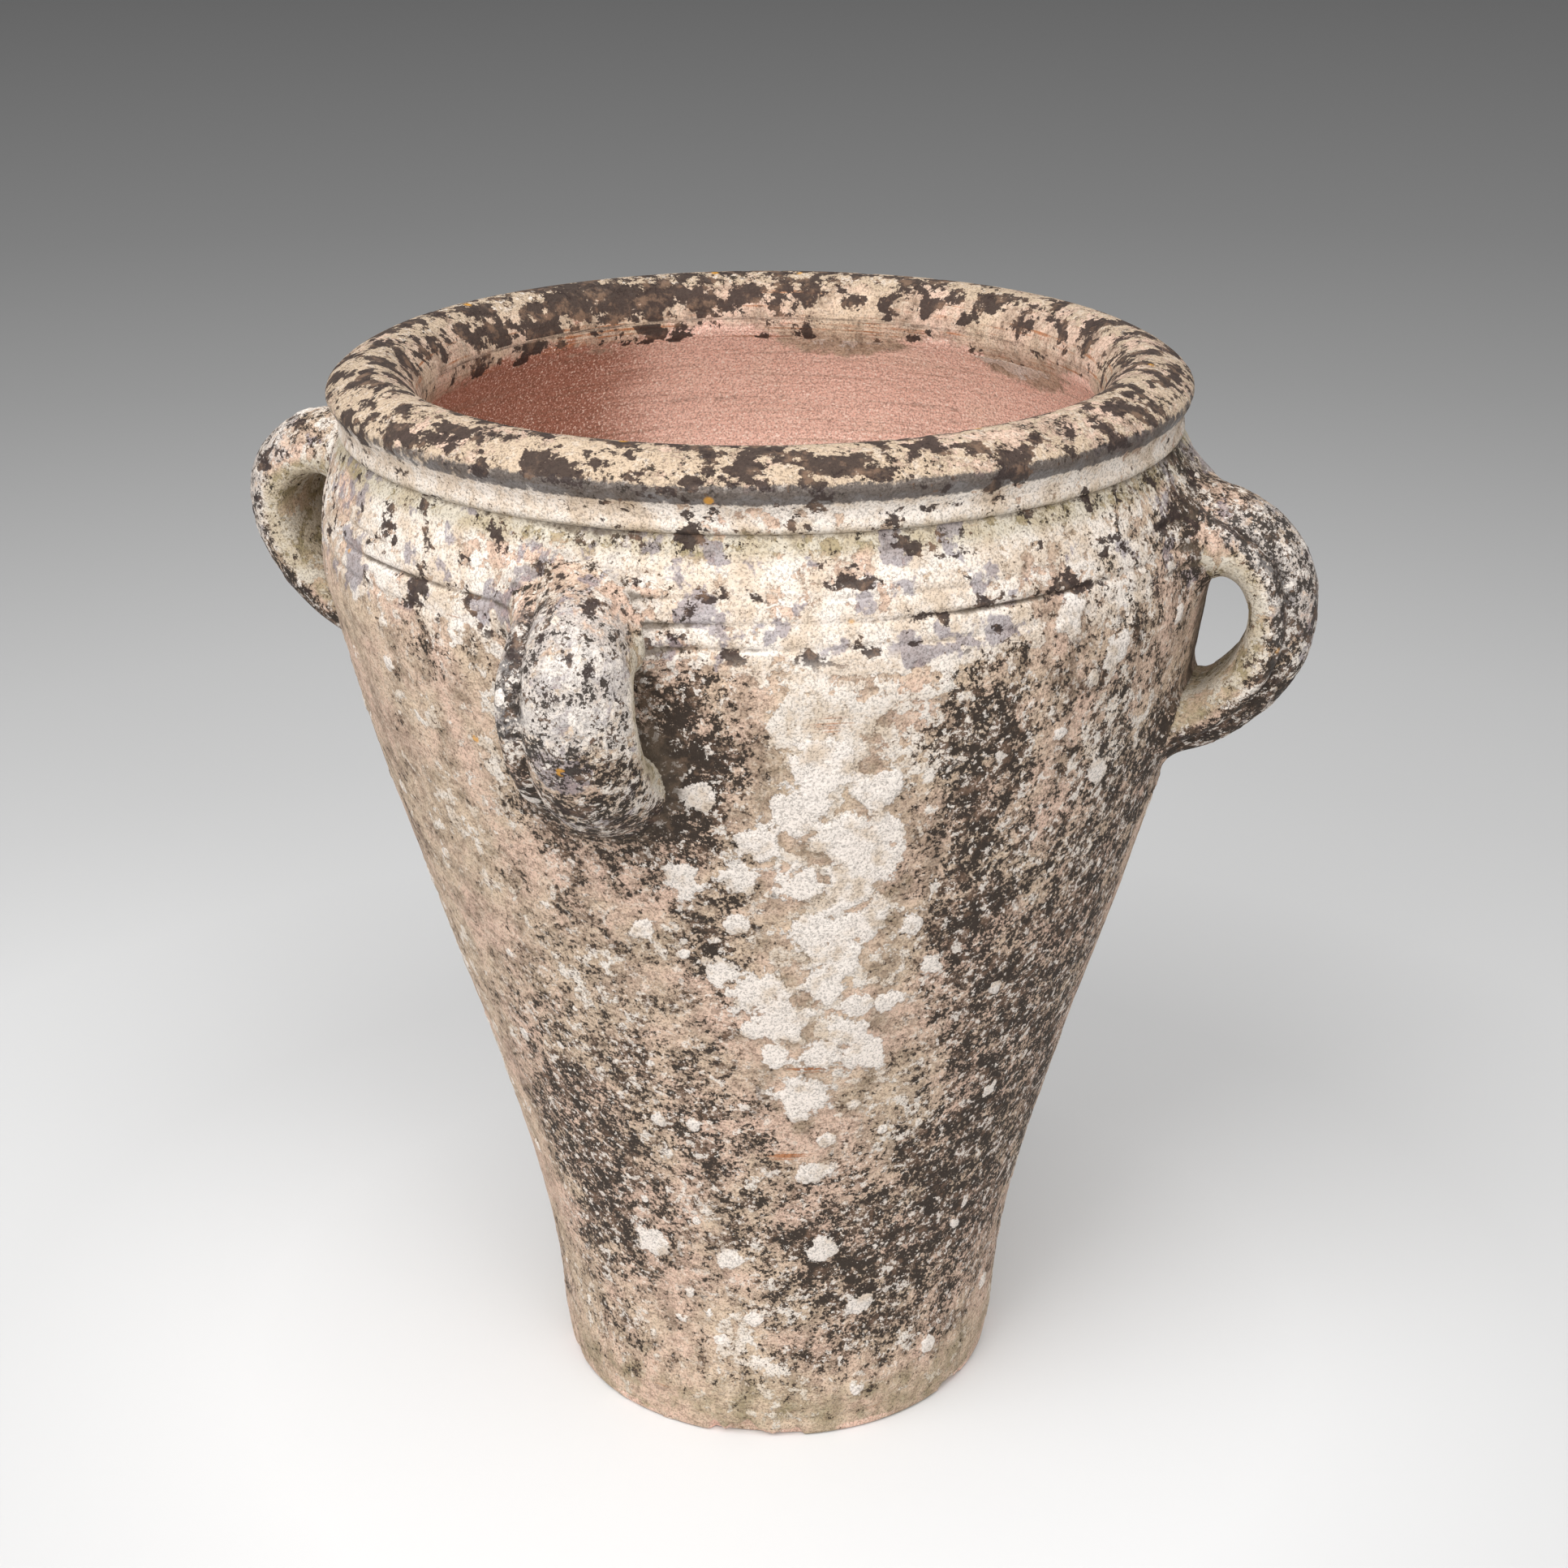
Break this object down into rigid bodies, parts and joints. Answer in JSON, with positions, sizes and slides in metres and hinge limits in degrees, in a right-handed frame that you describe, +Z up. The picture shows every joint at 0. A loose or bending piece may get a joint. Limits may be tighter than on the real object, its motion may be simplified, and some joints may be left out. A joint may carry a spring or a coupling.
{
  "type": "olive jar",
  "caption": "Wide terracotta olive jar with a narrow flat foot, thick rolled rim and upright strap handles round the shoulder, for storing olives or oil or planting.",
  "frame": {"origin": "centre of the flat base, on the floor", "axes": "+Z up along the jar's centre line; handles on -Y (front), +X (right), +Y (back) and -X (left)"},
  "size_m": [0.567, 0.567, 0.58],
  "materials": {
    "body_clay": "weathered unglazed earthenware",
    "rim_clay": "weathered unglazed earthenware with lichen",
    "handle_clay": "weathered unglazed earthenware",
    "luting_clay": "wiped unglazed earthenware"
  },
  "bodies": {
    "root": {"base_slab": "body_clay", "lower_wall": "body_clay", "middle_wall": "body_clay", "shoulder_wall": "body_clay", "neck_collar": "rim_clay", "rim_roll": "rim_clay", "handle_front": "handle_clay", "handle_right": "handle_clay", "handle_back": "handle_clay", "handle_left": "handle_clay", "upper_pad_front": "luting_clay", "upper_pad_right": "luting_clay", "upper_pad_back": "luting_clay", "upper_pad_left": "luting_clay", "lower_pad_front": "luting_clay", "lower_pad_right": "luting_clay", "lower_pad_back": "luting_clay", "lower_pad_left": "luting_clay"}
  },
  "joints": []
}
